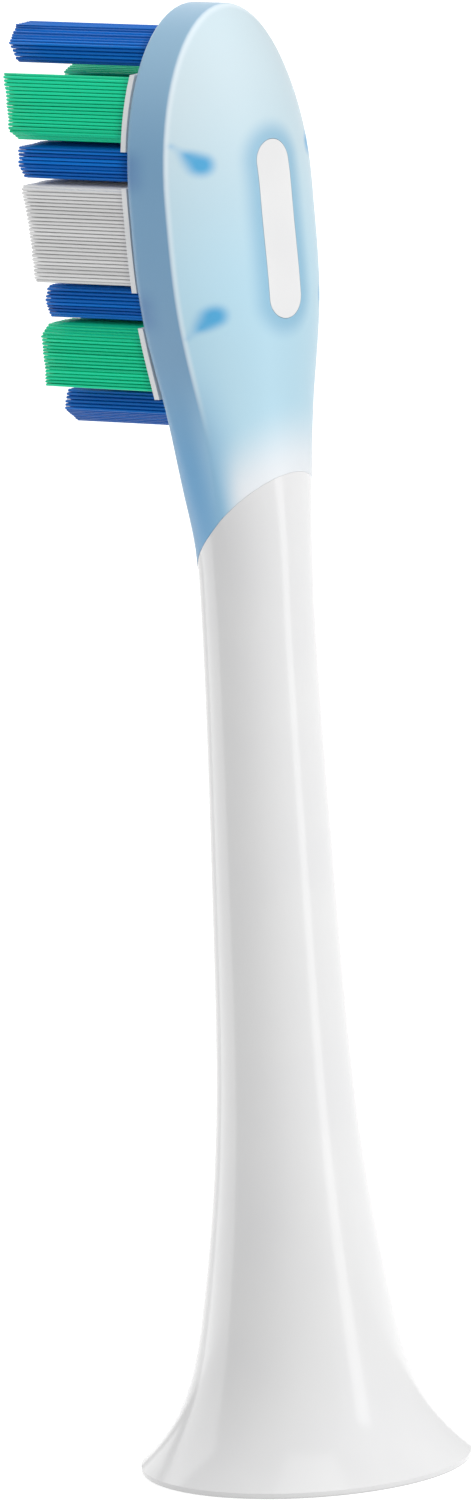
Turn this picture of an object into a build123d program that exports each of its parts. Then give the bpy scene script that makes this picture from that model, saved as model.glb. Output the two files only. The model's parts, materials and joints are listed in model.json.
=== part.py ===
from build123d import *
import math
import os

# Click-on brush head for a sonic toothbrush, in millimetres.
# +Z runs up the neck, the bristles face -Y and the origin is the centre of the base rim.

# Neck: height and radius of the bell's stations, then the slim part up to the waist
rim_radius = 8.53
rim_land = 0.3
flare_direction = (-0.75, 0.66)
bell_stations = ((3.05, 6.38), (8.3, 4.90), (16.6, 3.80))
mid_neck_share = 0.42
mid_neck_radius = 3.24
waist_height = 45.0
waist_radius = 2.92
bell_wall = 1.25

# Head: leans towards the bristles about the middle of the tuft field
field_above_waist = 19.5
head_lean = 2.3
half_width = 5.2
widest_above_field = 2.0
straight_run = 1.0
toe_length = 9.6
rim_front = 2.75
rim_round = 0.7
crease_back = 0.35
crown_back = 3.2
least_round = 0.2

# Stations below the widest place, from the shoulder to the root of the neck
shoulder_below = 4.4
shoulder_taper = 0.3
throat_below = 8.9
throat_taper = 1.2
throat_drop = 0.5
throat_round = 0.9
collar_below = 13.4
collar_half_width = 3.25
collar_drop = 0.72
collar_step = 0.55
collar_crease = 0.2
collar_round = 1.9
root_above_waist = 3.0
root_flare = 0.08
root_corners = (27, 76, 104)

# Soft skin over the core, deeper on the back and thinner towards the slanted line that ends it
skin = 0.55
crown_share = 1.7
throat_share = 0.8
collar_share = 0.5
parting_above_waist = 4.2
parting_slope = 44.0

# White pad on the back and the four teardrop feed holes beside it
pad_length = 9.2
pad_width = 2.25
pad_above_field = 0.1
feed_margin = 2.1
feed_along = 3.9
feed_radius = 0.55
feed_tail_margin = 1.2
feed_tail = 1.05

# Tuft plate: a scalloped flange on the rim and a spigot in the pocket
flange_thickness = 0.35
flange_inset = 0.3
scallop_depth = 0.6
lobe_overhang = 0.2
spigot_depth = 0.9
pocket_wall = 0.25
wall_step = 0.1
spigot_clearance = 0.03
foot_room = 0.2
heel_margin = 1.1
heel_round = 1.2

# Tuft field: rows from both ends to the white row, which fills the middle
toe_margin = 1.3
row_gap = 0.3
end_row = 1.85
green_row = 3.4
blue_row = 1.65
white_margin = 1.15
upper_blue_margin = 1.35
lower_blue_margin = 1.85
blue_bevel = (0.2, 0.75)
blue_slope = 0.3
upper_green_margin = 1.3
upper_green_slope = 1.05
lower_green_margin = 1.45
lower_green_slope = 0.55
green_bevel = (0.6, 0.55)
green_rake = 0.55
side_tuft_inner = 1.2
centre_half_width = 0.85
end_half_width = 1.6
end_tip_half_width = 0.5
end_bevel = 0.8
tuft_corner = 0.18
hole_clearance = 0.04
foot_lip = 0.07
foot_thickness = 0.5

# Concave trim of the bristle tips, along the head
shortest_bristle = 7.8
trim_radius = 24.5
trim_below_field = 2.05

# Drive socket in the neck, and the leaf spring on the flat of its bore
shoulder_height = 8.2
socket_flange_radius = 3.4
socket_flange = 1.2
socket_radius = 2.6
socket_length = 15.4
socket_clearance = 0.03
shaft_radius = 1.9
guide_length = 6.5
drive_length = 7.5
drive_radius = 1.6
drive_flat = 1.0
lead_in = 0.3
key_width = 1.0
key_height = 0.3
spring_width = 2.0
spring_end_room = 0.55
spring_thickness = 0.2
spring_bow = 0.45
spring_slot_depth = 0.55
spring_clearance = 0.05

field_height = waist_height + field_above_waist
lean = math.radians(head_lean)
head = Plane(
    origin=(0, 0, field_height), x_dir=(1, 0, 0), z_dir=(0, -math.cos(lean), -math.sin(lean))
)
parting_turn = math.radians(parting_slope)
parting = Plane(
    origin=(0, 0, waist_height + parting_above_waist),
    x_dir=(1, 0, 0),
    z_dir=(0, -math.sin(parting_turn), math.cos(parting_turn)),
)
stations = (
    (1, shoulder_below, half_width - shoulder_taper, crown_back, rim_front, crease_back, rim_round),
    (
        throat_share,
        throat_below,
        half_width - throat_taper,
        crown_back - throat_drop,
        rim_front,
        crease_back,
        throat_round,
    ),
    (
        collar_share,
        collar_below,
        collar_half_width,
        crown_back - collar_drop,
        rim_front + collar_step,
        collar_crease,
        collar_round,
    ),
)
plate_front = rim_front + flange_thickness
plate_back = rim_front - spigot_depth
pocket_floor = plate_back - foot_thickness - foot_room
seat_inset = skin - wall_step
pocket_inset = seat_inset + pocket_wall
field_end = widest_above_field + toe_length - toe_margin
end_start = field_end - end_row
green_start = end_start - row_gap - green_row
blue_start = green_start - row_gap - blue_row
white_end = blue_start - row_gap
seat_end = field_end + heel_margin
socket_base = shoulder_height - socket_flange
drive_start = socket_base + guide_length
wide = 4 * half_width
from_below = (Align.CENTER, Align.CENTER, Align.MIN)
from_corner = (Align.CENTER, Align.MIN, Align.MIN)


# Neck, turned about its own axis

def neck_curve(wall):
    bell_top = bell_stations[-1][0]
    mid_height = bell_top + mid_neck_share * (waist_height - bell_top)
    slim = (mid_height, mid_neck_radius), (waist_height, waist_radius)
    profile = [(rim_land, rim_radius), *bell_stations, *slim]
    points = [(radius - wall, height) for height, radius in profile]
    return Spline(*points, tangents=(flare_direction, (0, 1)), tangent_scalars=(1, 1))


def neck_form(wall):
    edge = rim_radius - wall
    axis_side = Polyline(
        (waist_radius - wall, waist_height), (0, waist_height), (0, 0), (edge, 0), (edge, rim_land)
    )
    return revolve(Plane.XZ * make_face(neck_curve(wall) + axis_side), Axis.Z)


def drive_hollow():
    bell = neck_form(bell_wall) & Cylinder(rim_radius, shoulder_height, align=from_below)
    flange_seat = Cylinder(socket_flange_radius + socket_clearance, shoulder_height, align=from_below)
    top = shoulder_height + socket_length + socket_clearance
    body_seat = Cylinder(socket_radius + socket_clearance, top, align=from_below)
    return bell + flange_seat + body_seat + key(socket_clearance)


# Head, in its own frame: X across, Y towards the toe and Z towards the bristles

def head_section(along, half, crown, front, crease, corner):
    def at(across, forward):
        return (across, along, forward)

    cut = corner * (1 - math.sqrt(0.5))
    edges = [
        Line(at(corner - half, front), at(half - corner, front)),
        ThreePointArc(at(half - corner, front), at(half - cut, front - cut), at(half, front - corner)),
        Line(at(half, front - corner), at(half, -crease)),
        ThreePointArc(at(half, -crease), at(0, -crown), at(-half, -crease)),
        Line(at(-half, -crease), at(-half, front - corner)),
        ThreePointArc(at(-half, front - corner), at(cut - half, front - cut), at(corner - half, front)),
    ]
    return make_face(edges)


def neck_section(height, radius):
    def at(angle):
        turn = math.radians(angle)
        return (radius * math.sin(turn), -radius * math.cos(turn), height)

    near, side, back = root_corners
    angles = (-near, near, side, back, 360 - back, 360 - side, 360 - near)
    arcs = [
        ThreePointArc(at(start), at((start + end) / 2), at(end)) for start, end in zip(angles, angles[1:])
    ]
    return make_face(arcs)


def head_form(inset):
    half = half_width - inset
    edge = max(rim_round - inset, least_round)
    crown = crown_back - crown_share * inset
    widest = head_section(0, half, crown, rim_front - inset, crease_back, edge)
    toe = revolve(split(widest, bisect_by=Plane.YZ, keep=Keep.TOP), Axis.Z, 180)
    toe = scale(toe, by=(1, (toe_length - inset) / half, 1))
    sections = [
        head * Pos(0, widest_above_field, 0) * widest,
        head * Pos(0, widest_above_field - straight_run, 0) * widest,
    ]
    for share, below, width, crown, front, crease, corner in stations:
        skin_here = share * inset
        edge = max(corner - skin_here, least_round)
        back = crown - crown_share * skin_here
        section = head_section(-below, width - skin_here, back, front - skin_here, crease, edge)
        sections.append(head * section)
    root_radius = waist_radius + root_flare
    root_inset = collar_share * inset
    sections.append(neck_section(waist_height + root_above_waist, root_radius - root_inset))
    sections.append(neck_section(waist_height, waist_radius - root_inset))
    return head * Pos(0, widest_above_field, 0) * toe + loft(sections)


def plan_outline(inset, heel_end):
    half = half_width - inset
    toe = Pos(0, widest_above_field) * Ellipse(half, toe_length - inset)
    toe &= Pos(0, widest_above_field + toe_length) * Rectangle(wide, 2 * toe_length)
    side = [(half, widest_above_field), (half, widest_above_field - straight_run)]
    side += [(width - inset, -below) for _, below, width, *_ in stations]
    right = Spline(*side)
    left = mirror(right, Plane.YZ)
    heel = make_face([right, left, Line(right @ 0, left @ 0), Line(right @ 1, left @ 1)])
    above_heel = Pos(0, toe_length) * Rectangle(wide, 2 * (toe_length + heel_end))
    outline = (toe + heel) & above_heel
    return fillet(outline.vertices().sort_by(Axis.Y)[:2], heel_round)


def between(sketch, start, end):
    return head * Pos(0, 0, start) * extrude(sketch, end - start)


# Tufts: outlines of the right half in the head's frame, then bundles with a fused foot

def white_outline():
    outer = half_width - white_margin
    return [
        (side_tuft_inner, -white_end),
        (outer, -white_end),
        (outer, white_end),
        (side_tuft_inner, white_end),
    ]


def blue_outline(margin):
    outer = half_width - margin
    top = blue_start + blue_row
    return [
        (side_tuft_inner, blue_start),
        (outer - blue_bevel[0], blue_start),
        (outer, blue_start + blue_bevel[1]),
        (outer - blue_slope, top),
        (side_tuft_inner, top),
    ]


def green_outline(margin, slope):
    outer = half_width - margin
    top = green_start + green_row
    return [
        (side_tuft_inner, green_start),
        (outer - green_bevel[0], green_start),
        (outer, green_start + green_bevel[1]),
        (outer - slope, top),
        (side_tuft_inner, top - green_rake),
    ]


def end_outline():
    right = [
        (end_half_width, end_start),
        (end_half_width, field_end - end_bevel),
        (end_tip_half_width, field_end),
    ]
    return right + flipped(reversed(right), -1, 1)


def centre_outline(bottom, top):
    half = centre_half_width
    return [(-half, bottom), (half, bottom), (half, top), (-half, top)]


def flipped(points, across, along):
    return [(across * x, along * y) for x, y in points]


def tuft_outlines():
    centre_end = green_start + green_row - 2 * green_rake
    outlines = {
        "toe_tuft": end_outline(),
        "heel_tuft": flipped(end_outline(), 1, -1),
        "centre_upper_tuft": centre_outline(blue_start, centre_end),
        "centre_middle_tuft": centre_outline(-white_end, white_end),
        "centre_lower_tuft": centre_outline(-centre_end, -blue_start),
    }
    for side, across in (("right", 1), ("left", -1)):
        outlines[f"white_tuft_{side}"] = flipped(white_outline(), across, 1)
        outlines[f"upper_blue_tuft_{side}"] = flipped(blue_outline(upper_blue_margin), across, 1)
        outlines[f"lower_blue_tuft_{side}"] = flipped(blue_outline(lower_blue_margin), across, -1)
        green = green_outline(upper_green_margin, upper_green_slope)
        outlines[f"upper_green_tuft_{side}"] = flipped(green, across, 1)
        green = green_outline(lower_green_margin, lower_green_slope)
        outlines[f"lower_green_tuft_{side}"] = flipped(green, across, -1)
    sketches = {}
    for name, points in outlines.items():
        block = make_face(Polyline(*points, close=True))
        sketches[name] = fillet(block.vertices(), tuft_corner)
    return sketches


def tuft(sketch):
    trim_axis = plate_front + shortest_bristle + trim_radius
    trim = Pos(0, -trim_below_field, trim_axis) * Rot(0, 90, 0) * Cylinder(trim_radius, wide)
    bundle = between(sketch, plate_back, trim_axis) - head * trim
    foot = between(offset(sketch, foot_lip), plate_back - foot_thickness, plate_back)
    return bundle + foot


# Plate

def plate(sketches):
    heel = seat_end - flange_inset
    lobes = Rectangle(wide, 2 * (white_end + lobe_overhang))
    for along in (1, -1):
        middle = along * (green_start + green_row / 2)
        lobes += Pos(0, middle) * Rectangle(wide, green_row + 2 * lobe_overhang)
    flange = plan_outline(flange_inset + scallop_depth, heel) + (plan_outline(flange_inset, heel) & lobes)
    spigot = plan_outline(pocket_inset + spigot_clearance, seat_end - pocket_wall - spigot_clearance)
    body = between(flange, rim_front, plate_front) + between(spigot, plate_back, rim_front)
    for sketch in sketches.values():
        body -= between(offset(sketch, hole_clearance), pocket_floor, plate_front + foot_room)
    return body


# Details of the core

def pad_boss():
    stadium = Pos(0, pad_above_field) * Rot(0, 0, 90) * SlotOverall(pad_length, pad_width)
    return between(stadium, -2 * crown_back, pocket_floor - skin)


def feed_holes():
    centre = Vector(half_width - feed_margin, feed_along)
    tip = Vector(half_width - feed_tail_margin, feed_along + feed_tail)
    heading = (tip - centre).normalized()
    opening = math.degrees(math.acos(feed_radius / (tip - centre).length))
    touch = [centre + heading.rotate(Axis.Z, turn) * feed_radius for turn in (opening, -opening)]
    drop = Pos(centre.X, centre.Y) * Circle(feed_radius) + make_face(Polyline(*touch, tip, close=True))
    upper = drop + mirror(drop, Plane.YZ)
    return between(upper + mirror(upper, Plane.XZ), -2 * crown_back, pocket_floor)


def seat_cut():
    block = Pos(0, toe_length) * Rectangle(wide, 2 * (toe_length + seat_end))
    return between(block, rim_front, rim_front + 2 * crown_back)


# Drive socket and its spring

def key(clearance):
    rib = Pos(0, 0, shoulder_height) * Box(
        key_width + 2 * clearance,
        socket_radius + key_height + clearance,
        drive_length + clearance,
        align=(Align.CENTER, Align.MAX, Align.MIN),
    )
    return rib


def drive_socket():
    body = Pos(0, 0, shoulder_height) * Cylinder(socket_radius, socket_length, align=from_below)
    body += Pos(0, 0, socket_base) * Cylinder(socket_flange_radius, socket_flange, align=from_below)
    body += key(0)
    guide = Pos(0, 0, socket_base) * Cylinder(shaft_radius, guide_length, align=from_below)
    drive = Pos(0, 0, drive_start) * Cylinder(drive_radius, drive_length, align=from_below)
    flat = Pos(0, drive_flat, drive_start) * Box(
        2 * socket_radius, socket_radius, drive_length, align=from_corner
    )
    slot_width = spring_width + 2 * spring_clearance
    slot = Pos(0, drive_flat, drive_start) * Box(
        slot_width, spring_slot_depth, drive_length, align=from_corner
    )
    funnel = Pos(0, 0, socket_base) * Cone(shaft_radius + lead_in, shaft_radius, lead_in, align=from_below)
    return body - guide - (drive - flat) - slot - funnel


def shaft_spring():
    low = drive_start + spring_end_room
    high = drive_start + drive_length - spring_end_room
    middle = (low + high) / 2
    back = drive_flat + spring_slot_depth
    front = back - spring_thickness
    outer = ThreePointArc((back, low), (back - spring_bow, middle), (back, high))
    inner = ThreePointArc((front, low), (front - spring_bow, middle), (front, high))
    strip = make_face([outer, inner, Line(outer @ 0, inner @ 0), Line(outer @ 1, inner @ 1)])
    return extrude(Plane.YZ * strip, spring_width / 2, both=True)


# Build: the outer form is split at the parting line, and the soft skin is what the core leaves of it

os.makedirs("parts", exist_ok=True)
sketches = tuft_outlines()
outer = neck_form(0) + head_form(0) - seat_cut()
bare = split(outer, bisect_by=parting, keep=Keep.BOTTOM)
covered = split(outer, bisect_by=parting, keep=Keep.TOP)
seat = between(plan_outline(seat_inset, seat_end), pocket_floor - skin, rim_front)
pocket = between(plan_outline(pocket_inset, seat_end - pocket_wall), pocket_floor, rim_front)
core = bare + head_form(skin) + seat + (pad_boss() & outer) - pocket - feed_holes() - drive_hollow()
parts = {
    "neck_core": core,
    "head_overmould": covered - core - pocket,
    "tuft_plate": plate(sketches),
    "drive_socket": drive_socket(),
    "shaft_spring": shaft_spring(),
}
for name, sketch in sketches.items():
    parts[name] = tuft(sketch)
for name, shape in parts.items():
    export_step(shape, f"parts/{name}.step")
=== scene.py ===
import bmesh
import bpy
import json
import math
import numpy as np
import random
from mathutils import Matrix, Vector, noise

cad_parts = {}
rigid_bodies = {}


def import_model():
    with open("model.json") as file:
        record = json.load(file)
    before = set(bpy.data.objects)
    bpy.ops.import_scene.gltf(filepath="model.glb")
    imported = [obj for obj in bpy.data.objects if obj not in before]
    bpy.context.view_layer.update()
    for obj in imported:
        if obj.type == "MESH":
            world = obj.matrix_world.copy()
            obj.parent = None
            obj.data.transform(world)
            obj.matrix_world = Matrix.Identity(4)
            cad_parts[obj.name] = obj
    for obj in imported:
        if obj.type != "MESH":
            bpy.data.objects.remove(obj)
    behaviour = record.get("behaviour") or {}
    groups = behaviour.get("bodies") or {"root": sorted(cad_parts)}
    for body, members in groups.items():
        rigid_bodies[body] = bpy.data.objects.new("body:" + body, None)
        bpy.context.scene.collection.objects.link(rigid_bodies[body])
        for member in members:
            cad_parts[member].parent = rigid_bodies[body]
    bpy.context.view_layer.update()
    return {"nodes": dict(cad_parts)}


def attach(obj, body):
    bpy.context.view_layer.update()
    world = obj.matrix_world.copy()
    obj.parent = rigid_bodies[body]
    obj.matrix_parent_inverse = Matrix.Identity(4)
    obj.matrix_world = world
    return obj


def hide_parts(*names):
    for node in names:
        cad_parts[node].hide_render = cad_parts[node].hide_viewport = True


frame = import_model()
mm = 0.001
tiny = 1e-6  # a length that counts as none
sliver = 0.0005 * mm  # cuts leave edges shorter than this
print("frame loaded:", len(frame["nodes"]), "nodes")

# The head's own axes: across, along towards the toe, ahead towards the bristle tips, in millimetres
headPlace = {"fieldHeight": 64.5, "lean": math.radians(2.3)}
headTurn = math.pi / 2 + headPlace["lean"]
headAxes = Matrix.Translation((0, 0, headPlace["fieldHeight"] * mm)) @ Matrix.Rotation(headTurn, 4, "X")
headAxes = headAxes @ Matrix.Diagonal((mm, mm, mm, 1))
toHead = headAxes.inverted()
forward = (headAxes.to_3x3() @ Vector((0, 0, 1))).normalized()


def onHead(across, along, ahead):
    return headAxes @ Vector((across, along, ahead))


def arcTurns(start, turn, steps):
    return [start + turn * step / steps for step in range(steps + 1)]


def direction(azimuth, elevation):
    # in degrees, from the side that the bristles point to
    turn, tilt = math.radians(azimuth), math.radians(elevation)
    return Vector((math.sin(turn) * math.cos(tilt), -math.cos(turn) * math.cos(tilt), math.sin(tilt)))


# Small helpers for picking and editing one piece at a time

def pick(*pieces):
    bpy.ops.object.select_all(action="DESELECT")
    for piece in pieces:
        piece.select_set(True)
    bpy.context.view_layer.objects.active = pieces[0]
    return pieces[0]


def addShape(operator, **settings):
    bpy.ops.object.select_all(action="DESELECT")
    operator(**settings)
    return bpy.context.object


def startEdit(piece, mode="VERT"):
    pick(piece)
    bpy.ops.object.mode_set(mode="EDIT")
    bpy.ops.mesh.select_mode(type=mode)


def endEdit():
    bpy.ops.object.mode_set(mode="OBJECT")


def choose(piece, kind, test):
    bpy.ops.mesh.select_all(action="DESELECT")
    mesh = bmesh.from_edit_mesh(piece.data)
    for item in getattr(mesh, kind):
        if test(item):
            item.select_set(True)
    mesh.select_flush_mode()
    bmesh.update_edit_mesh(piece.data)


def chooseAll():
    bpy.ops.mesh.select_all(action="SELECT")


def faceOutward():
    chooseAll()
    bpy.ops.mesh.normals_make_consistent(inside=False)


def closeEnds():
    bpy.ops.mesh.select_all(action="DESELECT")
    bpy.ops.mesh.select_mode(type="EDGE")
    bpy.ops.mesh.select_non_manifold()
    bpy.ops.mesh.edge_face_add()
    faceOutward()


def finishMesh(piece, name, sharpAngle):
    pick(piece)
    bpy.ops.object.transform_apply(location=True, rotation=True, scale=True)
    bpy.ops.object.shade_smooth_by_angle(angle=math.radians(sharpAngle))
    piece.name = name
    piece.data.name = name


def combine(piece, operation, tool):
    pick(piece)
    modifier = piece.modifiers.new("Boolean", "BOOLEAN")
    modifier.operation = operation
    modifier.object = tool
    modifier.solver = "EXACT"
    bpy.ops.object.modifier_apply(modifier=modifier.name)
    bpy.data.objects.remove(tool)


def sweepSlivers(piece):
    startEdit(piece)
    chooseAll()
    bpy.ops.mesh.remove_doubles(threshold=sliver)
    bpy.ops.mesh.dissolve_degenerate(threshold=sliver)
    endEdit()


# Materials: a value on its way through the nodes, with arithmetic

class Flow:
    def __init__(self, paint, socket):
        self.paint = paint
        self.socket = socket

    def __add__(self, other):
        return self.paint.calc("ADD", self, other)

    def __sub__(self, other):
        return self.paint.calc("SUBTRACT", self, other)

    def __rsub__(self, other):
        return self.paint.calc("SUBTRACT", other, self)

    def __mul__(self, other):
        return self.paint.calc("MULTIPLY", self, other)

    __radd__ = __add__
    __rmul__ = __mul__


class Paint:
    def __init__(self, name, fixed):
        self.material = bpy.data.materials.new(name)
        self.material.use_nodes = True
        self.tree = self.material.node_tree
        self.shader = self.tree.nodes["Principled BSDF"]
        for socket, value in fixed.items():
            self.set(socket, value)

    def feed(self, socket, value):
        if isinstance(value, Flow):
            self.tree.links.new(value.socket, socket)
        else:
            socket.default_value = value

    def add(self, kind, settings=None, inputs=None, out=0):
        node = self.tree.nodes.new(kind)
        for key, value in (settings or {}).items():
            setattr(node, key, value)
        for key, value in (inputs or {}).items():
            self.feed(node.inputs[key], value)
        return Flow(self, node.outputs[out])

    def calc(self, operation, first, second):
        return self.add("ShaderNodeMath", {"operation": operation}, {0: first, 1: second})

    def size(self, value):
        return self.calc("ABSOLUTE", value, 0)

    def root(self, first, second):
        return self.calc("SQRT", first * first + second * second, 0)

    def places(self):
        return self.add("ShaderNodeTexCoord", out="Object")

    def headPlaces(self):
        settings = {"vector_type": "TEXTURE"}
        inputs = {
            "Vector": self.places(),
            "Location": headAxes.translation,
            "Rotation": (headTurn, 0, 0),
            "Scale": (mm, mm, mm),
        }
        return self.add("ShaderNodeMapping", settings, inputs)

    def parts(self, vector):
        node = self.tree.nodes.new("ShaderNodeSeparateXYZ")
        self.feed(node.inputs[0], vector)
        return [Flow(self, socket) for socket in node.outputs]

    def grain(self, vector, scale, detail=2):
        inputs = {"Vector": vector, "Scale": scale, "Detail": detail}
        return self.add("ShaderNodeTexNoise", {}, inputs, out="Fac")

    def step(self, value, low, high):
        inputs = {"Value": value, "From Min": low, "From Max": high}
        return self.add("ShaderNodeMapRange", {"interpolation_type": "SMOOTHSTEP"}, inputs)

    def blend(self, share, first, second):
        settings = {"data_type": "RGBA"}
        return self.add("ShaderNodeMix", settings, {0: share, 6: first, 7: second}, out=2)

    def set(self, socket, value):
        self.feed(self.shader.inputs[socket], value)

    def smear(self, look):
        grain = self.grain(self.places(), look["smearScale"])
        self.set("Roughness", look["roughness"] + look["smear"] * grain)

    def ripple(self, look):
        strength, depth = look["ripple"]
        height = self.grain(self.places(), look["rippleScale"])
        inputs = {"Height": height, "Strength": strength, "Distance": depth * mm}
        self.set("Normal", self.add("ShaderNodeBump", {}, inputs, out="Normal"))


def mouldedPlastic(name, fixed, look):
    # clouds of a second tone, with a faint smear and ripple in the shine
    paint = Paint(name, fixed)
    clouds = paint.grain(paint.places(), *look["clouds"])
    share = paint.step(clouds, *look["cloudRange"])
    paint.set("Base Color", paint.blend(share, look["tone"], look["shade"]))
    paint.smear(look)
    paint.ripple(look)
    return paint.material


def glossWhite():
    look = {
        "tone": (0.73, 0.73, 0.73, 1), "shade": (0.71, 0.71, 0.715, 1),
        "clouds": (180, 2), "cloudRange": (0.3, 0.7), "roughness": 0.14, "smear": 0.05, "smearScale": 900,
        "ripple": (0.05, 0.02), "rippleScale": 420,
    }
    return mouldedPlastic("neckGlossWhite", {"IOR": 1.5, "Coat Weight": 0.25, "Coat Roughness": 0.12}, look)


def satinWhite():
    look = {
        "tone": (0.78, 0.79, 0.80, 1), "shade": (0.72, 0.735, 0.75, 1),
        "clouds": (700, 3), "cloudRange": (0.35, 0.7), "roughness": 0.32, "smear": 0.1, "smearScale": 3000,
        "ripple": (0.08, 0.01), "rippleScale": 4000,
    }
    return mouldedPlastic("plateSatinWhite", {"IOR": 1.5}, look)


def socketGrey():
    look = {
        "tone": (0.60, 0.61, 0.63, 1), "shade": (0.50, 0.51, 0.54, 1),
        "clouds": (900, 3), "cloudRange": (0.3, 0.7), "roughness": 0.4, "smear": 0.12, "smearScale": 3500,
        "ripple": (0.1, 0.01), "rippleScale": 5000,
    }
    return mouldedPlastic("socketHardPlastic", {"IOR": 1.5}, look)


def springSteel():
    look = {
        "tone": (0.56, 0.56, 0.57, 1), "shade": (0.40, 0.40, 0.42, 1), "streaks": (9000, 9000, 400),
        "streakRange": (0.35, 0.65), "roughness": 0.24, "smear": 0.2,
    }
    paint = Paint("springBareSteel", {"Metallic": 1.0})
    lines = paint.add("ShaderNodeMapping", {}, {"Vector": paint.places(), "Scale": look["streaks"]})
    streak = paint.grain(lines, 1.0)
    share = paint.step(streak, *look["streakRange"])
    paint.set("Base Color", paint.blend(share, look["tone"], look["shade"]))
    paint.set("Roughness", look["roughness"] + look["smear"] * streak)
    return paint.material


def frostedBlue():
    look = {
        "milk": (0.585, 0.705, 0.755, 1), "sky": (0.46, 0.68, 0.79, 1), "edge": (0.42, 0.66, 0.80, 1),
        "bandToe": (0.29, 0.48, 0.64, 1), "shadedBand": (0.16, 0.33, 0.51, 1), "bandRoot": (0.14, 0.37, 0.62, 1),
        "shadow": (0.08, 0.20, 0.42, 1), "crease": (0.84, 0.92, 0.97, 1), "thin": (0.79, 0.82, 0.85, 1),
        "drop": (0.05, 0.36, 0.66, 1), "padWallShade": (0.20, 0.44, 0.62, 1),
        # where each tone comes in, in millimetres on the head's axes
        "milkAlong": (-4, 9), "edgeAlong": (-9, -3), "edgeAhead": (-2.0, -0.5),
        "padHalo": (0.1, 1.3), "dropOut": 0.75, "dropEdge": (-0.4, 0.3),
        "bandToeAlong": (3, 11), "bandRootAlong": (-13, -5),
        "rowAlong": 3.6, "rowWidth": (0.3, 1.5), "rowAhead": (0.6, 2.4),
        "crispAlong": (-11, -6), "crispAhead": (-0.42, -0.25), "softAhead": (-1.9, 1.2),
        "creaseStart": (-0.62, -0.42), "creaseEnd": (-0.32, -0.16),
        "backAhead": (-1.5, -0.3), "thinRise": 2.8,
        "padShare": 0.7, "dropShare": 0.95, "rowShare": 0.7, "highlightShare": 0.45,
        "roughness": 0.32, "smear": 0.08, "smearScale": 2500, "ripple": (0.06, 0.02), "rippleScale": 5000,
        "absorbs": (0.0, 0.667, 0.922, 1), "perMetre": 260,
    }
    paint = Paint("softFrostedBlue", {"IOR": 1.42, "Transmission Weight": 0.15})
    across, along, ahead = paint.parts(paint.headPlaces())
    colour = paint.blend(paint.step(along, *look["milkAlong"]), look["sky"], look["milk"])
    low = 1 - paint.step(along, *look["edgeAlong"])
    colour = paint.blend(low * paint.step(ahead, *look["edgeAhead"]), colour, look["edge"])
    # the pad's wall shows through the back as a ring of painted shade round the pad, and the feed holes show
    # softly through as deeper blue drops
    overhang = paint.size(along - softHead["padAlong"]) - (softHead["padLength"] - softHead["padWidth"]) / 2
    beside = paint.root(across, paint.calc("MAXIMUM", overhang, 0)) - softHead["padWidth"] / 2
    padShade = look["padShare"] * (1 - paint.step(beside, *look["padHalo"]))
    colour = paint.blend(padShade, colour, look["padWallShade"])
    fromX = paint.size(across) - feedHole["across"] - look["dropOut"]
    fromY = paint.size(along) - feedHole["along"]
    tailX, tailY = feedHole["tail"]
    share = paint.step((fromX * tailX + fromY * tailY) * (1 / (tailX**2 + tailY**2)), 0, 1)
    reach = paint.root(fromX - tailX * share, fromY - tailY * share) - feedHole["radius"] * (1 - share)
    colour = paint.blend(look["dropShare"] * (1 - paint.step(reach, *look["dropEdge"])), colour, look["drop"])
    # the side is painted darker than the back: partly the deeper blue of the thicker skin, partly painted
    # shade on the side that faces away from the light; lighter towards the toe and bluer towards the root
    shadedBand = paint.blend(paint.step(along, *look["bandToeAlong"]), look["shadedBand"], look["bandToe"])
    shadedBand = paint.blend(1 - paint.step(along, *look["bandRootAlong"]), shadedBand, look["bandRoot"])
    # painted shadow on the rim beside the blue rows, where the blue tufts also show darkly through
    rows = 1 - paint.step(paint.size(paint.size(along) - look["rowAlong"]), *look["rowWidth"])
    shadedBand = paint.blend(look["rowShare"] * rows * paint.step(ahead, *look["rowAhead"]), shadedBand, look["shadow"])
    # the crease is crisp round the head and fades out down the throat
    crisp = paint.step(along, *look["crispAlong"])
    sharp = paint.step(ahead, *look["crispAhead"])
    soft = paint.step(ahead, *look["softAhead"])
    colour = paint.blend(soft + (sharp - soft) * crisp, colour, shadedBand)
    # a painted highlight along the crease, where its rounded edge would catch the light
    creaseHighlight = paint.step(ahead, *look["creaseStart"]) * (1 - paint.step(ahead, *look["creaseEnd"]))
    colour = paint.blend(look["highlightShare"] * creaseHighlight * crisp, colour, look["crease"])
    # the white neck shows through the thin edge at the parting line
    slope = softHead["partingSlope"]
    _, depth, height = paint.parts(paint.places())
    above = (height - softHead["parting"] * mm) * math.cos(slope) - depth * math.sin(slope)
    onBack = 1 - paint.step(ahead, *look["backAhead"])
    thin = (1 - paint.step(above, 0, look["thinRise"] * mm)) * onBack
    paint.set("Base Color", paint.blend(thin, colour, look["thin"]))
    paint.smear(look)
    paint.ripple(look)
    inputs = {"Color": look["absorbs"], "Density": look["perMetre"]}
    volume = paint.add("ShaderNodeVolumeAbsorption", {}, inputs)
    paint.tree.links.new(volume.socket, paint.tree.nodes["Material Output"].inputs["Volume"])
    return paint.material


nylonFinish = {
    "cell": (0.19, 0.165, 1), "rootAhead": (3.2, 4.6), "roughness": 0.3, "smear": 0.12, "smearScale": 6000,
}


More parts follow.
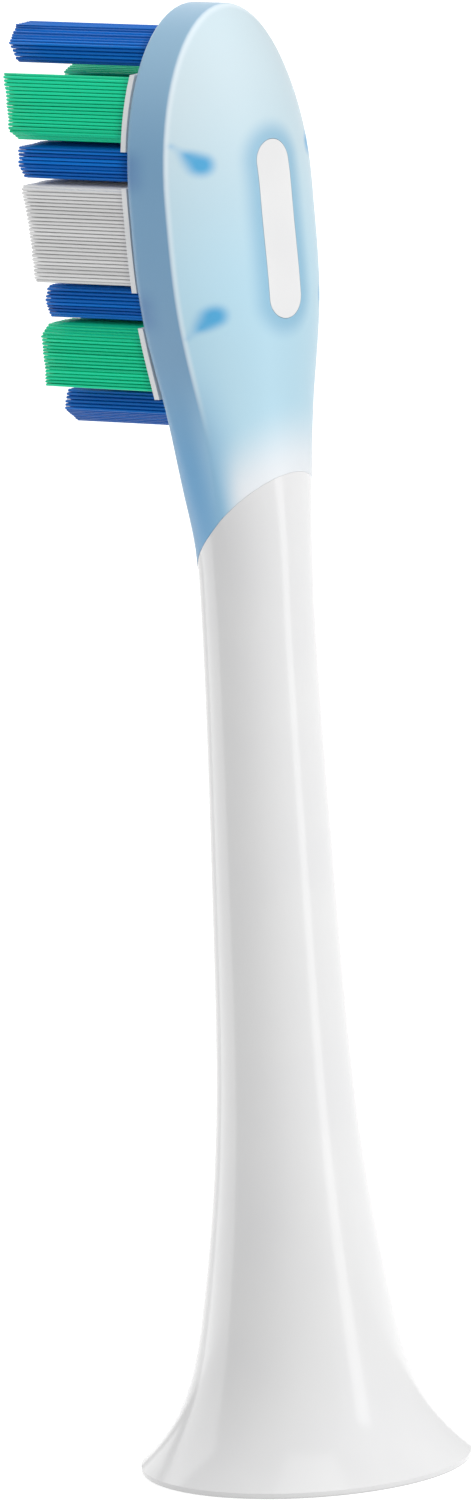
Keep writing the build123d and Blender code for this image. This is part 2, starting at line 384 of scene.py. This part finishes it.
def nylon(name, look):
    # each strand has its own tone, and the roots are darker
    paint = Paint(name, {"IOR": 1.53, "Specular IOR Level": look["gloss"]})
    across, along, ahead = paint.parts(paint.headPlaces())
    flat = paint.add("ShaderNodeCombineXYZ", {}, {"X": across, "Y": along})
    cell = paint.add("ShaderNodeVectorMath", {"operation": "SNAP"}, {0: flat, 1: nylonFinish["cell"]})
    strand = paint.add("ShaderNodeTexWhiteNoise", {"noise_dimensions": "2D"}, {"Vector": cell})
    colour = paint.blend(strand, look["dark"], look["light"])
    rooted = paint.step(ahead, *nylonFinish["rootAhead"])
    paint.set("Base Color", paint.blend(rooted, look["root"], colour))
    paint.smear(nylonFinish)
    return paint.material


bristleLooks = {
    "blue": {
        "dark": (0.002, 0.10, 0.44, 1), "light": (0.003, 0.19, 0.70, 1), "root": (0.002, 0.05, 0.26, 1),
        "gloss": 0.06,
    },
    "green": {
        "dark": (0.006, 0.58, 0.29, 1), "light": (0.012, 0.78, 0.41, 1), "root": (0.008, 0.34, 0.20, 1),
        "gloss": 0.08,
    },
    "white": {
        "dark": (0.72, 0.72, 0.72, 1), "light": (0.84, 0.84, 0.84, 1), "root": (0.60, 0.61, 0.63, 1),
        "gloss": 0.3,
    },
}
nylons = {colour: nylon(f"bristle{colour.title()}", look) for colour, look in bristleLooks.items()}
print("bristle materials made:", len(nylons))

# Soft head: rings of one outline, lofted from the neck to the widest place, then spun round the toe
softHead = {
    "halfWidth": 5.2, "widest": 2.0, "straightRun": 1.0, "toeLength": 9.6,
    "front": 2.73, "frontRound": 0.7, "crease": 0.35, "crown": 3.2,
    # share of the skin, along, half width, crown, front, crease, corner
    "shoulder": (1.0, -4.4, 4.9, 3.2, 2.73, 0.35, 0.7),
    "throat": (0.8, -8.9, 4.0, 2.7, 2.73, 0.35, 0.9),
    "collar": (0.5, -13.4, 3.25, 2.48, 3.28, 0.2, 1.9),
    "root": (48.0, 3.0), "waist": (45.0, 2.92),  # height, radius
    "skin": 0.55, "crownShare": 1.7, "leastRound": 0.2, "proud": 0.012,
    "parting": 49.2, "partingSlope": math.radians(44), "partingGap": 0.01, "partingSlack": 1e-7,
    "rings": 60, "toeSteps": 36, "toeSlack": 1e-4, "toeWeld": 0.002, "ringDigits": 8,
    "planSteps": 60, "heelSteps": 8, "toeArcSteps": 48, "heelRound": 1.2,
    "creaseRound": 0.14, "creaseSegments": 3, "sharpAngle": 28,
    "padLength": 9.2, "padWidth": 2.25, "padAlong": 0.1, "padGap": 0.02, "padSides": 64,
    "seatEnd": 11.4, "seatGap": 0.005, "coreGap": 0.01,
    "padCut": (-5, -1),  # back, front
    "seatCut": (10.4, 21.2, 8.19),  # half width, toe end, front
    "pocket": (0.70, 11.15, 1.0, 4.0),  # inset, heel, back, front
}
feedHole = {
    "across": 3.1, "along": 3.9, "radius": 0.55, "tail": (0.9, 1.05), "steps": 20, "back": -6, "overlap": 0.2,
}
# Spokes of one ring: 0 at the front, then the corner, the side, the crease and 48 at the back
spokes = {"all": 96, "corner": 7, "side": 20, "crease": 28, "back": 48}


def headRing(along, half, crown, front, crease, corner):
    rise = crown - crease
    arc = (half**2 + rise**2) / (2 * rise)
    points = []
    for spoke in range(spokes["back"] + 1):
        if spoke <= spokes["corner"]:
            across, ahead = (half - corner) * spoke / spokes["corner"], front
        elif spoke <= spokes["side"]:
            turn = math.pi / 2 * (spoke - spokes["corner"]) / (spokes["side"] - spokes["corner"])
            across, ahead = half - corner + corner * math.sin(turn), front - corner + corner * math.cos(turn)
        elif spoke <= spokes["crease"]:
            share = (spoke - spokes["side"]) / (spokes["crease"] - spokes["side"])
            across, ahead = half, front - corner - share * (front - corner + crease)
        else:
            share = (spokes["back"] - spoke) / (spokes["back"] - spokes["crease"])
            turn = math.asin(half / arc) * share
            across, ahead = arc * math.sin(turn), arc - crown - arc * math.cos(turn)
        points.append(onHead(across, along, ahead))
    left = [Vector((-point.x, point.y, point.z)) for point in reversed(points[1:-1])]
    return points + left


def neckRing(height, radius):
    turns = arcTurns(0, math.tau, spokes["all"])[:-1]
    return [Vector((radius * math.sin(turn), -radius * math.cos(turn), height)) * mm for turn in turns]


def smoothRings(rings, count, ends=None):
    # cubic through the rings, spaced by how far apart they are, with free or given ends
    knots = np.array([[tuple(point) for point in ring] for ring in rings])
    gaps = np.linalg.norm(np.diff(knots.mean(axis=1), axis=0), axis=1)
    marks = np.concatenate(([0], np.cumsum(gaps)))
    size = len(knots)
    system = np.eye(size)
    pull = np.zeros_like(knots)
    for row in range(1, size - 1):
        before, after = gaps[row - 1], gaps[row]
        system[row, row - 1:row + 2] = before, 2 * (before + after), after
        rate = (knots[row + 1] - knots[row]) / after - (knots[row] - knots[row - 1]) / before
        pull[row] = 6 * rate
    if ends:
        system[0, :2] = 2 * gaps[0], gaps[0]
        system[-1, -2:] = gaps[-1], 2 * gaps[-1]
        pull[0] = 6 * ((knots[1] - knots[0]) / gaps[0] - ends[0])
        pull[-1] = 6 * (ends[1] - (knots[-1] - knots[-2]) / gaps[-1])
    bend = np.linalg.solve(system, pull.reshape(size, -1)).reshape(knots.shape)
    out = []
    for mark in np.linspace(0, marks[-1], count):
        span = min(int(np.searchsorted(marks, mark, side="right")) - 1, size - 2)
        high = (mark - marks[span]) / gaps[span]
        low = 1 - high
        curve = (low**3 - low) * bend[span] + (high**3 - high) * bend[span + 1]
        ring = low * knots[span] + high * knots[span + 1] + curve * gaps[span] ** 2 / 6
        out.append([Vector(point) for point in ring])
    return out


def layRing(piece, ring):
    mesh = bmesh.from_edit_mesh(piece.data)
    layer = mesh.verts.layers.int["spoke"]
    for vert in mesh.verts:
        if vert.select:
            vert.co = ring[vert[layer]]
    bmesh.update_edit_mesh(piece.data)


def loftRings(rings):
    # a circle is drawn out from ring to ring, and each point keeps to its spoke
    circle = bpy.ops.mesh.primitive_circle_add
    piece = addShape(circle, vertices=spokes["all"], radius=mm, fill_type="NOTHING")
    startEdit(piece)
    mesh = bmesh.from_edit_mesh(piece.data)
    layer = mesh.verts.layers.int.new("spoke")
    for vert in mesh.verts:
        turn = math.atan2(vert.co.x, -vert.co.y) % math.tau
        vert[layer] = round(turn / math.tau * spokes["all"]) % spokes["all"]
    bmesh.update_edit_mesh(piece.data)
    chooseAll()
    layRing(piece, rings[0])
    for ring in rings[1:]:
        bpy.ops.mesh.extrude_region()
        layRing(piece, ring)
    return piece


def headRings(inset, proud):
    head = softHead

    def section(share, along, half, crown, front, crease, corner):
        skin = share * inset
        corner = max(corner - skin, head["leastRound"])
        return headRing(along, half - skin, crown - head["crownShare"] * skin, front - skin, crease, corner)

    widest = head["halfWidth"], head["crown"], head["front"], head["crease"], head["frontRound"]
    less = head["collar"][0] * inset - proud
    stations = [neckRing(height, radius - less) for height, radius in (head["waist"], head["root"])]
    stations += [section(*head[name]) for name in ("collar", "throat", "shoulder")]
    places = head["widest"] - head["straightRun"], head["widest"]
    stations += [section(1, along, *widest) for along in places]
    return smoothRings(stations, head["rings"])


def rounded(point):
    return tuple(round(part, softHead["ringDigits"]) for part in point)


def headBody(inset, proud=0):
    # the toe: the right half of the last ring swings round to the left, then stretches to its length
    head = softHead
    rings = headRings(inset, proud)
    piece = loftRings(rings)
    rightHalf = {rounded(point) for point in rings[-1][:spokes["back"] + 1]}
    choose(piece, "verts", lambda vert: rounded(vert.co) in rightHalf)
    pole = onHead(0, head["widest"], 0)
    bpy.ops.mesh.spin(steps=head["toeSteps"], angle=-math.pi, center=pole, axis=forward)
    mesh = bmesh.from_edit_mesh(piece.data)
    stretch = (head["toeLength"] - inset) / (head["halfWidth"] - inset)
    for vert in mesh.verts:
        spot = toHead @ vert.co
        if spot.y > head["widest"] + head["toeSlack"]:
            vert.co = onHead(spot.x, head["widest"] + (spot.y - head["widest"]) * stretch, spot.z)
    bmesh.update_edit_mesh(piece.data)
    chooseAll()
    bpy.ops.mesh.remove_doubles(threshold=head["toeWeld"] * mm)
    closeEnds()
    return piece


def cutParting(gap, keepBelow):
    slope = softHead["partingSlope"]
    upward = Vector((0, -math.sin(slope), math.cos(slope)))
    place = Vector((0, 0, softHead["parting"] * mm)) + upward * gap * mm
    sides = {"clear_inner": not keepBelow, "clear_outer": keepBelow, "threshold": softHead["partingSlack"]}
    chooseAll()
    bpy.ops.mesh.bisect(plane_co=place, plane_no=upward, use_fill=True, **sides)


def stadium(name, length, width, along, back, front):
    # a cylinder pulled out lengthways, for the pad and for its cutter
    cylinder = bpy.ops.mesh.primitive_cylinder_add
    block = addShape(cylinder, vertices=softHead["padSides"], radius=width / 2, depth=front - back)
    startEdit(block)
    pull = (length - width) / 2
    for side in (1, -1):
        choose(block, "verts", lambda vert: vert.co.y * side > -tiny)
        bpy.ops.transform.translate(value=(0, side * pull, 0))
    endEdit()
    block.data.transform(headAxes @ Matrix.Translation((0, along, (front + back) / 2)))
    block.name = name
    return block


def prism(name, outline, back, front):
    circle = bpy.ops.mesh.primitive_circle_add
    block = addShape(circle, vertices=len(outline), radius=mm, fill_type="NGON")
    startEdit(block)
    mesh = bmesh.from_edit_mesh(block.data)
    mesh.verts.ensure_lookup_table()
    for vert, (across, along) in zip(mesh.verts, outline):
        vert.co = onHead(across, along, back)
    bmesh.update_edit_mesh(block.data)
    chooseAll()
    bpy.ops.mesh.extrude_region_move(TRANSFORM_OT_translate={"value": forward * (front - back) * mm})
    faceOutward()
    endEdit()
    block.name = name
    return block


def planBlock(name, inset, heel, back, front):
    # the head's plan, drawn in and closed with round corners at the heel
    head = softHead
    half, toe, corner = head["halfWidth"] - inset, head["toeLength"] - inset, head["heelRound"]
    places = [(head["halfWidth"], head["widest"]), (head["halfWidth"], head["widest"] - head["straightRun"])]
    places += [(width, along) for _, along, width, *_ in (head["shoulder"], head["throat"], head["collar"])]
    side = smoothRings([[Vector((width - inset, along))] for width, along in places], head["planSteps"])
    level = corner - heel
    right = [(ring[0].x, ring[0].y) for ring in side[1:] if ring[0].y > level]
    (beforeX, beforeY), (endX, endY) = right[-2:]
    lean = math.atan2(beforeX - endX, beforeY - endY)
    middle = endX - (endY - level) * math.tan(lean) - corner / math.cos(lean)
    heelTurns = arcTurns(lean, math.pi / 2 - lean, head["heelSteps"])
    right += [(middle + corner * math.cos(turn), level - corner * math.sin(turn)) for turn in heelTurns]
    toeTurns = arcTurns(0, math.pi, head["toeArcSteps"])
    outline = [(half * math.cos(turn), head["widest"] + toe * math.sin(turn)) for turn in toeTurns]
    outline += [(-across, along) for across, along in right] + right[::-1]
    return prism(name, outline, back, front)


def feedDrops(gap=0):
    tailX, tailY = feedHole["tail"]
    radius = feedHole["radius"] - gap
    heading, opening = math.atan2(tailY, tailX), math.acos(radius / math.hypot(tailX, tailY))
    turns = arcTurns(heading + opening, 2 * (math.pi - opening), feedHole["steps"])
    drop = [(radius * math.cos(turn), radius * math.sin(turn)) for turn in turns] + [(tailX, tailY)]
    drop = [(feedHole["across"] + across, feedHole["along"] + along) for across, along in drop]
    drops = []
    for sideways, lengthways in ((1, 1), (1, -1), (-1, 1), (-1, -1)):
        outline = [(across * sideways, along * lengthways) for across, along in drop]
        drops.append(prism("feedDrop", outline, feedHole["back"], neck["pocket"][2] + feedHole["overlap"]))
    tool = pick(*drops)
    bpy.ops.object.join()
    return tool


def makeSoftHead():
    head = softHead
    piece = headBody(0, head["proud"])
    # round the crease between the side and the domed back
    bpy.ops.mesh.select_mode(type="EDGE")
    mesh = bmesh.from_edit_mesh(piece.data)
    layer = mesh.verts.layers.int["spoke"]
    onCrease = {spokes["crease"], spokes["all"] - spokes["crease"]}
    choose(piece, "edges", lambda edge: all(vert[layer] in onCrease for vert in edge.verts))
    bpy.ops.mesh.bevel(offset=head["creaseRound"] * mm, segments=head["creaseSegments"], affect="EDGES")
    cutParting(head["partingGap"], False)
    faceOutward()
    endEdit()
    length, width = head["padLength"] + 2 * head["padGap"], head["padWidth"] + 2 * head["padGap"]
    combine(piece, "DIFFERENCE", stadium("padCutter", length, width, head["padAlong"], *head["padCut"]))
    # the hollow that the core fills, with soft plugs left in the feed holes
    gap = head["coreGap"]
    core = headBody(head["skin"] - gap)
    endEdit()
    combine(core, "DIFFERENCE", feedDrops(gap))
    combine(piece, "DIFFERENCE", core)
    inset, heel, back, front = neck["seat"]
    combine(piece, "DIFFERENCE", planBlock("seatHollow", inset - gap, heel + gap, back - gap, front + gap))
    # flat seat and pocket for the tuft plate
    wide, toeEnd, cutFront = head["seatCut"]
    corners = [(wide, -head["seatEnd"]), (wide, toeEnd), (-wide, toeEnd), (-wide, -head["seatEnd"])]
    combine(piece, "DIFFERENCE", prism("plateSeat", corners, head["front"] + head["seatGap"], cutFront))
    combine(piece, "DIFFERENCE", planBlock("platePocket", *head["pocket"]))
    sweepSlivers(piece)
    finishMesh(piece, "softHead", head["sharpAngle"])
    piece.data.materials.append(frostedBlue())
    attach(piece, "root")
    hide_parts("head_overmould")
    print("soft head:", len(piece.data.polygons), "faces")


# Neck and core: one outline walked out of the socket's seat, down the bell, round the rim and up to the head
neck = {
    "profile": ((0.3, 8.53), (3.05, 6.38), (8.3, 4.90), (16.6, 3.80), (28.53, 3.24), (45.0, 2.92)),
    "ends": ((-0.75, 0.66), (0.0, 1.0)), "rings": 56, "wall": 1.25,
    "rimRound": 0.12, "rimSteps": 4, "mouthRound": 0.08, "mouthSteps": 3,
    "shoulder": 8.2, "seatRadius": 2.63, "seatTop": 23.63,
    "key": (0.53, 2.93, 7.53),  # half width, depth, length
    # inset, heel, back, front
    "seat": (0.45, 11.4, 0.6, 2.5), "pocket": (0.70, 11.15, 1.15, 3.2),
    "pad": (-6, 0.6),  # back, front
    "sharpAngle": 28,
}


def neckOutline():
    places = [[Vector((radius, height))] for height, radius in neck["profile"]]
    outside = [(ring[0].y, ring[0].x) for ring in smoothRings(places, neck["rings"], neck["ends"])]
    heights, radii = zip(*outside)
    edge, wall, shoulder = radii[0], neck["wall"], neck["shoulder"]
    walk = [(neck["seatTop"], neck["seatRadius"]), (shoulder, neck["seatRadius"])]
    walk.append((shoulder, float(np.interp(shoulder, heights, radii)) - wall))
    walk += [(height, radius - wall) for height, radius in reversed(outside) if height < shoulder]
    for turn in arcTurns(0, math.pi / 2, neck["mouthSteps"]):
        drop, out = (neck["mouthRound"] * (1 - part(turn)) for part in (math.sin, math.cos))
        walk.append((drop, edge - wall + out))
    for turn in arcTurns(0, math.pi / 2, neck["rimSteps"]):
        drop, out = (neck["rimRound"] * (1 - part(turn)) for part in (math.cos, math.sin))
        walk.append((drop, edge - out))
    return walk + outside


def keySlot():
    half, depth, length = neck["key"]
    slot = addShape(bpy.ops.mesh.primitive_cube_add, size=2 * mm)
    slot.data.transform(Matrix.Diagonal((half, depth / 2, length / 2, 1)))
    slot.data.transform(Matrix.Translation((0, -depth / 2 * mm, (neck["shoulder"] + length / 2) * mm)))
    return slot


def makeNeck():
    head = softHead
    rings = [neckRing(height, radius) for height, radius in neckOutline()]
    piece = loftRings(rings + headRings(0, 0)[1:])
    cutParting(0, True)
    closeEnds()
    endEdit()
    core = headBody(head["skin"])
    endEdit()
    combine(piece, "UNION", core)
    pad = stadium("pad", head["padLength"], head["padWidth"], head["padAlong"], *neck["pad"])
    outer = headBody(0)
    endEdit()
    combine(pad, "INTERSECT", outer)
    combine(piece, "UNION", pad)
    combine(piece, "UNION", planBlock("plateSeat", *neck["seat"]))
    combine(piece, "DIFFERENCE", planBlock("platePocket", *neck["pocket"]))
    combine(piece, "DIFFERENCE", feedDrops())
    combine(piece, "DIFFERENCE", keySlot())
    sweepSlivers(piece)
    finishMesh(piece, "neckCore", neck["sharpAngle"])
    piece.data.materials.append(glossWhite())
    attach(piece, "root")
    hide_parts("neck_core")
    print("neck and core:", len(piece.data.polygons), "faces")


makeSoftHead()
makeNeck()

# Tufts: one filament, modelled once and set out over each block's own outline
filament = {
    "radius": 0.085, "pitch": 0.19, "sides": 6, "tipRound": 0.06, "tipSegments": 2, "bends": (0.45, 0.8),
    "rootAhead": 1.7, "stillRoot": 0.2, "edgeRoom": 0.8, "jitter": 0.5, "seed": 11, "weld": 0.001,
    "wander": 0.05, "lengthSpread": 0.05, "lift": 0.02, "trimFrom": 0.6, "sharpAngle": 50,
    "wanderNoise": (1.7, 3.1), "lengthNoise": (5.3, 7.7),  # scale, slice
    "cutAhead": 6.0,  # where the blocks are measured, between their slabs and their tops
}
footSlab = {"thickness": 0.5, "lip": 0.07, "back": 1.35}


def pairs(loop):
    return zip(loop, loop[1:] + loop[:1])


def blockOutline(node):
    # the block is cut across its middle, and the cut's corners are walked in order
    cut = bpy.data.objects.new("blockCut", frame["nodes"][node].data.copy())
    bpy.context.collection.objects.link(cut)
    startEdit(cut)
    chooseAll()
    bpy.ops.mesh.remove_doubles(threshold=filament["weld"] * mm)
    chooseAll()
    place = onHead(0, 0, filament["cutAhead"])
    bpy.ops.mesh.bisect(plane_co=place, plane_no=forward, clear_inner=True, clear_outer=True)
    mesh = bmesh.from_edit_mesh(cut.data)
    mesh.verts.ensure_lookup_table()
    walk = [mesh.verts[0]]
    while True:
        ways = [edge.other_vert(walk[-1]) for edge in walk[-1].link_edges]
        fresh = [vert for vert in ways if vert not in walk]
        if not fresh:
            break
        walk.append(fresh[0])
    outline = [(toHead @ vert.co).to_2d() for vert in walk]
    endEdit()
    bpy.data.objects.remove(cut)
    area = sum(start.cross(end) for start, end in pairs(outline))
    return outline if area > 0 else outline[::-1]


def blockTop(node):
    spots = [toHead @ vert.co for vert in frame["nodes"][node].data.vertices]
    tops = [spot for spot in spots if spot.z > filament["cutAhead"]]
    return np.polyfit([spot.y for spot in tops], [spot.z for spot in tops], 2)


def edgeDepth(spot, outline):
    sides = [(start, end - start) for start, end in pairs(outline)]
    return min(side.normalized().cross(spot - start) for start, side in sides if side.length > tiny)


def setOut(outline, draw):
    # a row along the edge first, then a honeycomb inside it
    radius, pitch = filament["radius"], filament["pitch"]
    corners = []
    for place, corner in enumerate(outline):
        before, after = outline[place - 1], outline[(place + 1) % len(outline)]
        heading = ((corner - before).normalized() + (after - corner).normalized()).normalized()
        corners.append(corner + Vector((-heading.y, heading.x)) * radius)
    sides = list(pairs(corners))
    lengths = [(end - start).length for start, end in sides]
    count = round(sum(lengths) / pitch)
    spots = []
    for strand in range(count):
        run = sum(lengths) * strand / count
        side = 0
        while run > lengths[side]:
            run -= lengths[side]
            side += 1
        start, end = sides[side]
        spots.append(start.lerp(end, run / max(lengths[side], tiny)))
    lowX, lowY = (min(corner[axis] for corner in outline) for axis in (0, 1))
    highX, highY = (max(corner[axis] for corner in outline) for axis in (0, 1))
    rowStep = pitch * math.sqrt(3) / 2
    room = pitch - 2 * radius
    for row in range(int((highY - lowY) / rowStep) + 1):
        for column in range(int((highX - lowX) / pitch) + 2):
            spot = Vector((lowX + (column - row % 2 / 2) * pitch, lowY + row * rowStep))
            if edgeDepth(spot, outline) > radius + filament["edgeRoom"] * pitch:
                shift = Vector((draw.uniform(-room, room), draw.uniform(-room, room)))
                spots.append(spot + shift * filament["jitter"])
    return spots


def oneFilament(length):
    radius, bevel = filament["radius"] * mm, filament["tipRound"] * mm
    cylinder = bpy.ops.mesh.primitive_cylinder_add
    piece = addShape(cylinder, vertices=filament["sides"], radius=radius, depth=length * mm)
    startEdit(piece, "EDGE")
    choose(piece, "edges", lambda edge: all(vert.co.z > 0 for vert in edge.verts))
    bpy.ops.mesh.bevel(offset=bevel, segments=filament["tipSegments"], affect="EDGES")
    for share in filament["bends"]:
        chooseAll()
        place = (0, 0, (share - 0.5) * length * mm)
        bpy.ops.mesh.bisect(plane_co=place, plane_no=(0, 0, 1))
    endEdit()
    turn = headAxes.to_3x3().normalized().to_4x4()
    piece.data.transform(turn @ Matrix.Translation((0, 0, length / 2 * mm)))
    bpy.ops.object.shade_smooth()
    return piece


def makeFoot(outline):
    # melted ends behind the plate, as wide as the bundle and its lip
    middle = sum(outline, Vector((0, 0))) / len(outline)
    spread = [corner + (corner - middle).normalized() * footSlab["lip"] for corner in outline]
    return prism("foot", spread, footSlab["back"], footSlab["back"] + footSlab["thickness"])


def noisePlace(spot, scale, level):
    return Vector((spot.x * scale, spot.y * scale, level))


def makeTuft(node, name, colour, draw):
    outline = blockOutline(node)
    top = blockTop(node)
    spots = setOut(outline, draw)
    level = float(np.polyval(top, sum(spot.y for spot in spots) / len(spots)))
    root = filament["rootAhead"]
    length = level - root
    strand = oneFilament(length)
    layout = bpy.data.meshes.new("tuftLayout")
    layout.from_pydata([onHead(spot.x, spot.y, root) for spot in spots], [], [])
    holder = bpy.data.objects.new("tuftLayout", layout)
    bpy.context.collection.objects.link(holder)
    strand.parent = holder
    holder.instance_type = "VERTS"
    pick(holder)
    bpy.ops.object.duplicates_make_real()
    strands = [piece for piece in bpy.context.selected_objects if piece is not holder]
    bpy.data.objects.remove(holder)
    bpy.data.objects.remove(strand)
    tuft = pick(makeFoot(outline), *strands)
    bpy.ops.object.join()
    # tips follow the trim, and the bundle wanders a little on its way up
    for vert in tuft.data.vertices:
        spot = toHead @ vert.co
        if spot.z < root + filament["stillRoot"]:
            continue
        share = (spot.z - root) / length
        sway = noise.noise_vector(noisePlace(spot, *filament["wanderNoise"])) * filament["wander"] * share**2
        spread = noise.noise(noisePlace(spot, *filament["lengthNoise"])) * filament["lengthSpread"]
        trim = np.polyval(top, spot.y) - level + spread - filament["lift"]
        rise = trim if share > filament["trimFrom"] else 0
        vert.co = onHead(spot.x + sway.x, spot.y + sway.y, spot.z + rise)
    finishMesh(tuft, name, filament["sharpAngle"])
    tuft.data.materials.clear()
    tuft.data.materials.append(nylons[colour])
    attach(tuft, "root")
    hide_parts(node)
    return len(spots)


def makeTufts():
    draw = random.Random(filament["seed"])
    noise.seed_set(filament["seed"])  # the sway is the same each run
    rows = {
        "toe_tuft": ("toeTuft", "blue"),
        "heel_tuft": ("heelTuft", "blue"),
        "centre_upper_tuft": ("centreUpperTuft", "blue"),
        "centre_middle_tuft": ("centreMiddleTuft", "blue"),
        "centre_lower_tuft": ("centreLowerTuft", "blue"),
    }
    for side in ("right", "left"):
        rows[f"white_tuft_{side}"] = f"whiteTuft{side.title()}", "white"
        for row in ("upper", "lower"):
            for colour in ("blue", "green"):
                rows[f"{row}_{colour}_tuft_{side}"] = f"{row}{colour.title()}Tuft{side.title()}", colour
    counts = [makeTuft(node, name, colour, draw) for node, (name, colour) in rows.items()]
    print("tufts:", len(counts), "with", sum(counts), "filaments")


makeTufts()

# The CAD nodes that stay get their finishes
keptNodes = {
    "tuft_plate": satinWhite(),
    "drive_socket": socketGrey(),
    "shaft_spring": springSteel(),
}
for node, material in keptNodes.items():
    frame["nodes"][node].data.materials.clear()
    frame["nodes"][node].data.materials.append(material)
print("kept nodes painted:", len(keptNodes))

# Studio: pale floor, soft surround, wide panels, two near strips for the shine and a panel for the soft head
studio = {
    "floorRadius": 20.0, "floorSides": 96, "floorRoughness": 0.9, "floorGlow": 0.42,
    "floorWhite": (0.86, 0.86, 0.86, 1), "speck": (0.8, 0.8, 0.81, 1), "speckScale": 40, "speckShare": 0.04,
    "surround": (1.0, 1.0, 1.0, 1),
    "ramp": {"From Min": 0.1, "From Max": 0.75, "To Min": 0.73, "To Max": 0.84},
    # azimuth, elevation, distance, width, height, power
    "lights": {
        "fillPanel": (195, 25, 0.7, 0.5, 0.8, 2.7),
        "topPanel": (140, 72, 0.7, 0.4, 0.4, 0.4),
        "frontPanel": (330, 30, 0.8, 0.6, 0.8, 1.0),
        "keyStrip": (195, -9.7, 0.08, 0.02, 0.071, 0.0075),
        "rimStrip": (24, -11.5, 0.07, 0.052, 0.072, 0.0126),
        "headPanel": (115, 30, 0.25, 0.2, 0.2, 0.17),
    },
    "aimHeight": 38, "onlyShine": ("keyStrip", "rimStrip"), "noShine": ("fillPanel", "headPanel"),
    "softHeadOnly": ("headPanel",),
}


def makeFloor():
    circle = bpy.ops.mesh.primitive_circle_add
    floor = addShape(circle, vertices=studio["floorSides"], radius=studio["floorRadius"], fill_type="TRIFAN")
    floor.name = "floor"
    glow = {"Emission Color": studio["floorWhite"], "Emission Strength": studio["floorGlow"]}
    paint = Paint("floorPale", {"Roughness": studio["floorRoughness"], **glow})
    speck = studio["speckShare"] * paint.grain(paint.places(), studio["speckScale"])
    paint.set("Base Color", paint.blend(speck, studio["floorWhite"], studio["speck"]))
    floor.data.materials.append(paint.material)
    floor.visible_diffuse = False


def makeSurround():
    # brighter overhead than at the horizon, as under a large overhead softbox
    world = bpy.data.worlds.new("surround")
    world.use_nodes = True
    nodes, links = world.node_tree.nodes, world.node_tree.links
    sky = nodes["Background"]
    sky.inputs["Color"].default_value = studio["surround"]
    heading, split, ramp = (
        nodes.new(f"ShaderNode{kind}") for kind in ("TexCoord", "SeparateXYZ", "MapRange")
    )
    ramp.interpolation_type = "SMOOTHSTEP"
    for socket, value in studio["ramp"].items():
        ramp.inputs[socket].default_value = value
    links.new(heading.outputs["Generated"], split.inputs[0])
    links.new(split.outputs["Z"], ramp.inputs["Value"])
    links.new(ramp.outputs["Result"], sky.inputs["Strength"])
    bpy.context.scene.world = world


def makeLights():
    # one panel stands for the light that the clear head gathers, so it reaches nothing else
    softOnly = bpy.data.collections.new("softOnly")
    softOnly.objects.link(bpy.data.objects["softHead"])
    aim = Vector((0, 0, studio["aimHeight"] * mm))
    for name, (azimuth, elevation, distance, width, height, power) in studio["lights"].items():
        away = direction(azimuth, elevation)
        bpy.ops.object.light_add(type="AREA", location=aim + away * distance)
        lamp = bpy.context.object
        lamp.name = name
        lamp.rotation_euler = away.to_track_quat("Z", "Y").to_euler()
        lamp.data.shape = "RECTANGLE"
        lamp.data.size, lamp.data.size_y, lamp.data.energy = width, height, power
        lamp.visible_camera = False
        lamp.visible_diffuse = name not in studio["onlyShine"]
        lamp.visible_glossy = name not in studio["noShine"]
        if name in studio["softHeadOnly"]:
            lamp.light_linking.receiver_collection = softOnly


makeFloor()
makeSurround()
makeLights()
print("studio set:", len(studio["lights"]), "lights")

# Camera: a long lens, behind and to one side, rolled as the photograph is
shot = {
    "azimuth": 135, "elevation": 10.6, "roll": 3.3, "lens": 450, "viewHeight": 76.84,
    "centreRight": -1.46, "centreUp": 36.86, "centreAhead": 7.0,
}


def makeCamera():
    turn, roll = math.radians(shot["azimuth"]), math.radians(shot["roll"])
    away = direction(shot["azimuth"], shot["elevation"])
    right = Vector((math.cos(turn), math.sin(turn), 0))
    up = away.cross(right)
    centre = (right * shot["centreRight"] + up * shot["centreUp"] + away * shot["centreAhead"]) * mm
    bpy.ops.object.camera_add()
    camera = bpy.context.object
    camera.data.lens = shot["lens"]
    distance = shot["viewHeight"] * mm * shot["lens"] / camera.data.sensor_width
    sideways = right * math.cos(roll) - up * math.sin(roll)
    upward = right * math.sin(roll) + up * math.cos(roll)
    facing = Matrix((sideways, upward, away)).transposed().to_4x4()
    camera.matrix_world = Matrix.Translation(centre + away * distance) @ facing
    bpy.context.scene.camera = camera
    print("camera set: lens", shot["lens"])


makeCamera()
bpy.context.scene.view_settings.view_transform = "Standard"
